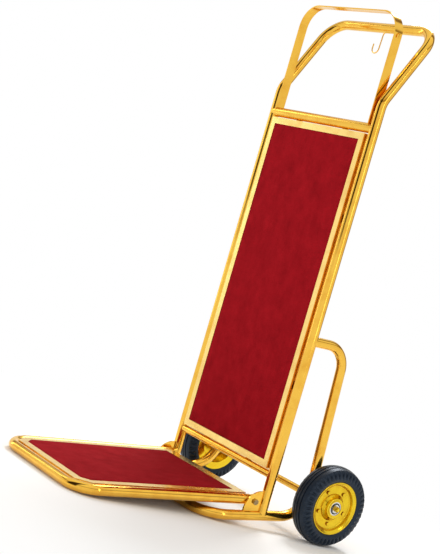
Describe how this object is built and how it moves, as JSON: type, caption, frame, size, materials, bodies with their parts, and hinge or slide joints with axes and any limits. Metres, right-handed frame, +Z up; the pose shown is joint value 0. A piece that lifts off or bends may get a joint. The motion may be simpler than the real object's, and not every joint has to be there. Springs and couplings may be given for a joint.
{
  "type": "hotel luggage cart",
  "caption": "Upright two-wheeled luggage cart: bent brass tube frame with a handle, garment hoop and hook, carpeted back panel and a carpeted platform that folds up.",
  "frame": {"origin": "middle of the cart's bounding box, at floor height", "axes": "+Z up; +X to the right of someone who faces the back of the cart from its platform side; the platform reaches along -Y and the handle leans to +Y"},
  "size_m": [0.5988, 0.792, 1.3058],
  "materials": {
    "polished_tube": "gold plated tube, mirror polished",
    "gilt_trim": "gold plated sheet, polished",
    "wheel_gold": "gold plated pressed steel",
    "carpet": "deep red short cut pile",
    "plywood": "sealed plywood",
    "tyre_rubber": "black air tyre with block tread",
    "soft_rubber": "matt black rubber",
    "plated_steel": "zinc plated",
    "bright_steel": "bright ground steel"
  },
  "bodies": {
    "frame": {"main_tube": "polished_tube", "base_loop": "polished_tube", "top_crossbar": "polished_tube", "bottom_crossbar": "polished_tube", "hoop_strap": "polished_tube", "hoop_spacers": "polished_tube", "panel_trim_top": "gilt_trim", "panel_trim_bottom": "gilt_trim", "panel_trim_left": "gilt_trim", "panel_trim_right": "gilt_trim", "panel_board": "plywood", "panel_carpet": "carpet", "panel_lugs": "polished_tube", "panel_screws": "plated_steel", "left_hinge_plate": "polished_tube", "right_hinge_plate": "polished_tube", "hinge_bolts": "plated_steel", "hinge_washers": "plated_steel", "hinge_nuts": "plated_steel", "rest_buffers": "soft_rubber", "axle_tube": "polished_tube", "axle_rod": "bright_steel", "axle_spacers": "bright_steel", "axle_washers": "bright_steel", "cap_nuts": "wheel_gold"},
    "platform": {"platform_tube": "polished_tube", "platform_trim": "gilt_trim", "platform_rear_trim": "gilt_trim", "platform_board": "plywood", "platform_carpet": "carpet", "platform_rails": "plated_steel", "platform_screws": "plated_steel"},
    "left_wheel": {"left_tyre": "tyre_rubber", "left_inner_tube": "soft_rubber", "left_valve": "soft_rubber", "left_rim_outer": "wheel_gold", "left_rim_inner": "wheel_gold", "left_rim_bolts": "wheel_gold", "left_rim_nuts": "plated_steel", "left_hub": "wheel_gold", "left_bearing_outer_rings": "bright_steel", "left_bearing_inner_rings": "bright_steel", "left_bearing_balls": "bright_steel", "left_bearing_seals": "soft_rubber"},
    "right_wheel": {"right_tyre": "tyre_rubber", "right_inner_tube": "soft_rubber", "right_valve": "soft_rubber", "right_rim_outer": "wheel_gold", "right_rim_inner": "wheel_gold", "right_rim_bolts": "wheel_gold", "right_rim_nuts": "plated_steel", "right_hub": "wheel_gold", "right_bearing_outer_rings": "bright_steel", "right_bearing_inner_rings": "bright_steel", "right_bearing_balls": "bright_steel", "right_bearing_seals": "soft_rubber"},
    "hook": {"garment_hook": "polished_tube"}
  },
  "joints": [
    {"name": "left_wheel_spin", "type": "hinge", "parent": "frame", "child": "left_wheel", "pos_m": [-0.258, 0.29449, 0.1015], "axis": [1, 0, 0], "continuous": true},
    {"name": "right_wheel_spin", "type": "hinge", "parent": "frame", "child": "right_wheel", "pos_m": [0.258, 0.29449, 0.1015], "axis": [1, 0, 0], "continuous": true},
    {"name": "platform_fold", "type": "hinge", "parent": "frame", "child": "platform", "pos_m": [0, 0.10765, 0.06396], "axis": [-1, 0, 0], "range_deg": [0, 93]},
    {"name": "hook_swing", "type": "hinge", "parent": "frame", "child": "hook", "pos_m": [0.1878, 0.08509, 1.25116], "axis": [1, 0, 0], "range_deg": [-120, 120]}
  ]
}
